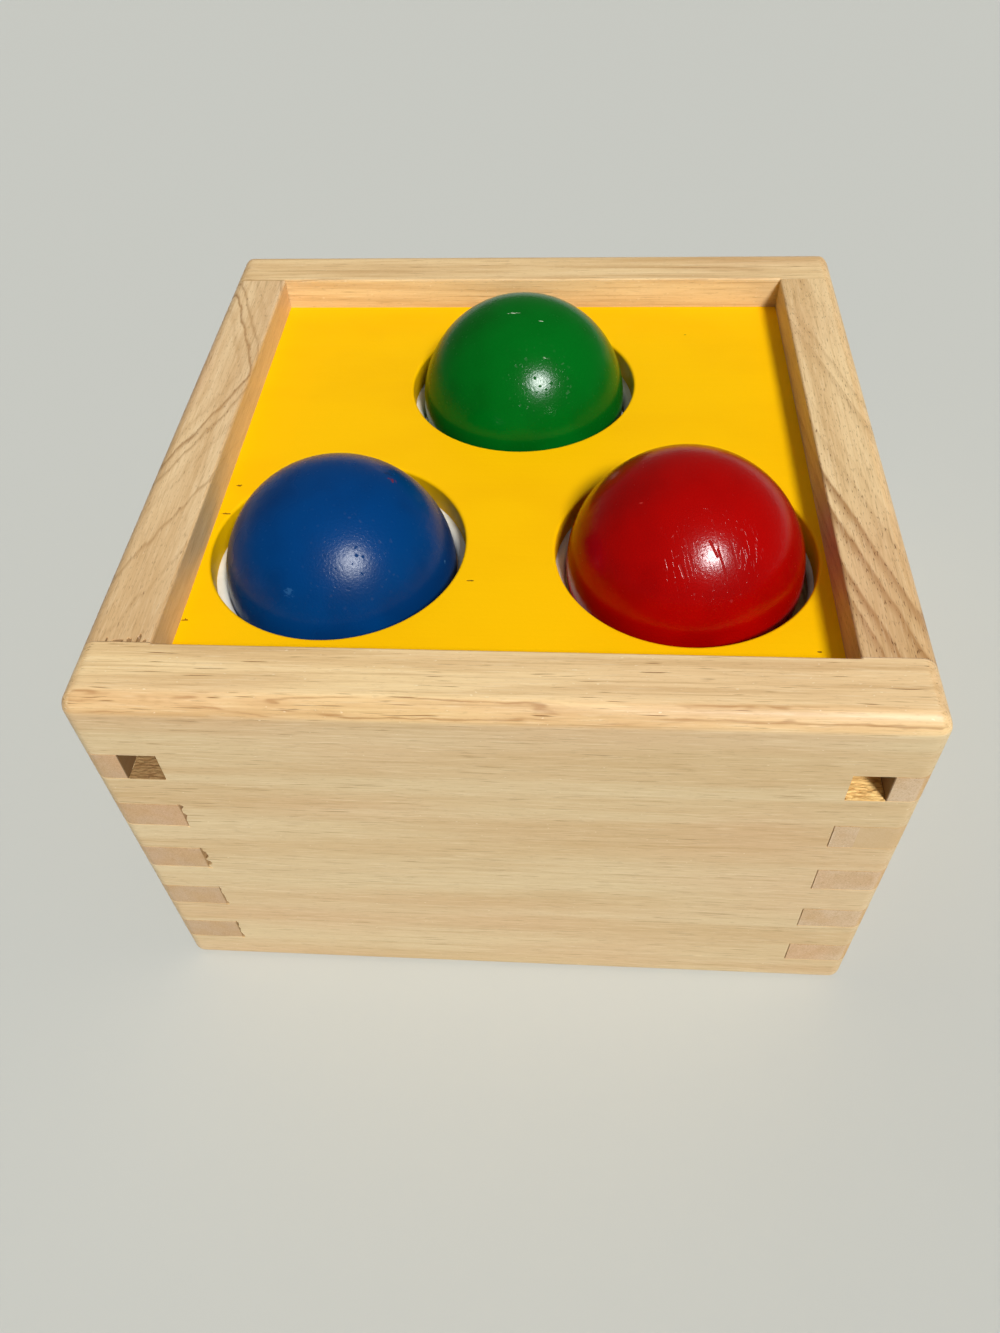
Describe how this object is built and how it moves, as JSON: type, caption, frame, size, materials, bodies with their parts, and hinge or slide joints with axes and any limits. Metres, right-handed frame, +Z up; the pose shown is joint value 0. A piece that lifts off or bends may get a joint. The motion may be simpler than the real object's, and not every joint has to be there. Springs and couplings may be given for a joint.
{
  "type": "ball pounding box",
  "caption": "Square finger-jointed wooden toy box whose yellow top grips painted balls that are pounded through an elastic sheet and roll out at the back.",
  "frame": {"origin": "on the table under the middle of the box", "axes": "+Z up, -Y out of the closed front wall towards the player, +X to the player's right"},
  "size_m": [0.1602, 0.1602, 0.1142],
  "materials": {
    "wall_wood": "satin clear lacquer",
    "yellow_paint": "satin paint",
    "white_rubber": "matt",
    "plywood": "raw",
    "cleat_wood": "raw",
    "zinc_steel": "zinc plated",
    "blue_enamel": "gloss enamel",
    "green_enamel": "gloss enamel",
    "red_enamel": "gloss enamel"
  },
  "bodies": {
    "box": {"front_wall": "wall_wood", "back_wall": "wall_wood", "left_wall": "wall_wood", "right_wall": "wall_wood", "top_plate": "yellow_paint", "rubber_sheet": "white_rubber", "carrier_board": "plywood", "ramp_board": "plywood", "left_cleat": "cleat_wood", "right_cleat": "cleat_wood", "clamp_screw_1": "zinc_steel", "clamp_screw_2": "zinc_steel", "clamp_screw_3": "zinc_steel", "clamp_screw_4": "zinc_steel", "clamp_screw_5": "zinc_steel", "clamp_screw_6": "zinc_steel", "ramp_screw_1": "zinc_steel", "ramp_screw_2": "zinc_steel", "ramp_screw_3": "zinc_steel", "ramp_screw_4": "zinc_steel"},
    "blue_ball": {"ball_blue": "blue_enamel"},
    "green_ball": {"ball_green": "green_enamel"},
    "red_ball": {"ball_red": "red_enamel"}
  },
  "joints": [
    {"name": "blue_drop", "type": "slide", "parent": "box", "child": "blue_ball", "axis": [0, 0, 1], "range_m": [-0.0425, 0], "deforming": ["rubber_sheet"]},
    {"name": "green_drop", "type": "slide", "parent": "box", "child": "green_ball", "axis": [0, 0, 1], "range_m": [-0.0517, 0], "deforming": ["rubber_sheet"]},
    {"name": "red_drop", "type": "slide", "parent": "box", "child": "red_ball", "axis": [0, 0, 1], "range_m": [-0.0455, 0], "deforming": ["rubber_sheet"]}
  ]
}
